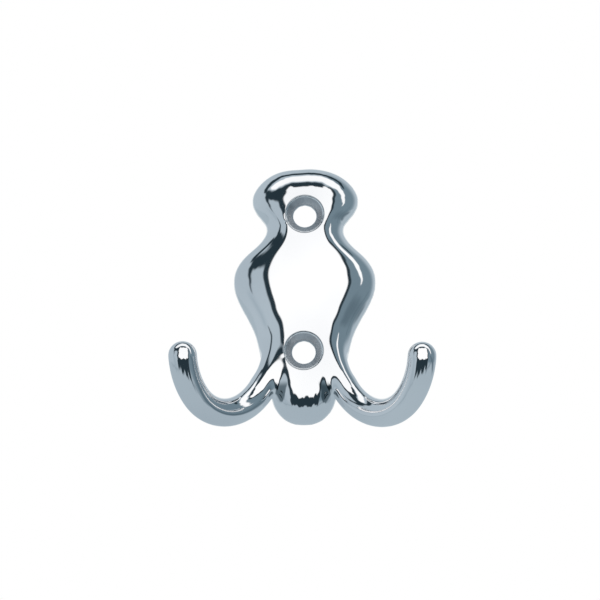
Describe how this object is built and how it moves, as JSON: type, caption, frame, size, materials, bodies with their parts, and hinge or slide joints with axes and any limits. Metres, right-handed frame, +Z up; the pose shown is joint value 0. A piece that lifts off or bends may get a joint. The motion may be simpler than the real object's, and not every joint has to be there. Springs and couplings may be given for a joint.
{
  "type": "double wall hook",
  "caption": "Chrome-plated cast hook for coats or towels: a waisted wall plate with countersunk screw holes, a rounded nose and a pair of upturned prongs.",
  "frame": {"origin": "on the wall plane, midway between the screw holes", "axes": "+Y into the wall, so the prongs stand out along -Y; +Z up; +X to the right of someone facing the hook"},
  "size_m": [0.0504, 0.0205, 0.0535],
  "materials": {
    "chrome_plate": "polished"
  },
  "bodies": {
    "root": {"wall_hook": "chrome_plate"}
  },
  "joints": []
}
